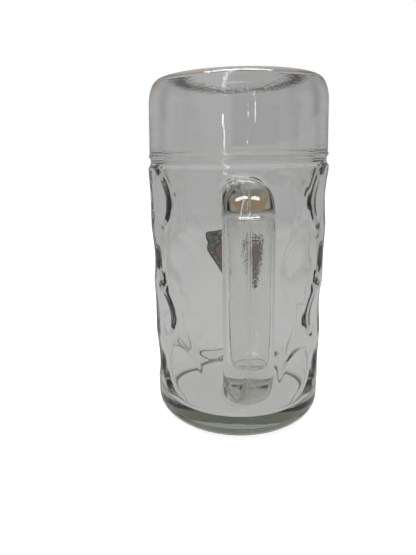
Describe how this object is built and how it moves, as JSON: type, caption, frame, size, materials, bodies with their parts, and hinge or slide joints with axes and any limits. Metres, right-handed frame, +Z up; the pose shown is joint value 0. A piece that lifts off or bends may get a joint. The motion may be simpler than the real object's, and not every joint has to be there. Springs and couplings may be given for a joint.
{
  "type": "dimpled glass beer mug",
  "caption": "Heavy pressed glass beer mug with staggered oval dimples, a plain collar, a thick base, a fused D-shaped handle and a shield-shaped fired enamel badge.",
  "frame": {"origin": "middle of the base, on the table: the centre of the bearing ring that the mug stands on", "axes": "+Z up along the mug's axis; the handle points along -Y and the badge is opposite it on +Y; +X is to the right seen from the handle's side"},
  "size_m": [0.1058, 0.156, 0.2],
  "materials": {
    "clear_glass": "fire-polished, clear with a faint green-grey tint",
    "handle_glass": "fire-polished, with a fine mould seam",
    "dark_enamel": "fired enamel, dark brown, satin gloss",
    "grey_enamel": "fired enamel, mid grey, satin gloss",
    "red_enamel": "fired enamel, muted red, satin gloss",
    "cream_enamel": "fired enamel, cream, satin gloss"
  },
  "bodies": {
    "root": {"glass_body": "clear_glass", "glass_handle": "handle_glass", "enamel_lines": "dark_enamel", "enamel_band": "grey_enamel", "enamel_field": "red_enamel", "enamel_ear": "cream_enamel"}
  },
  "joints": []
}
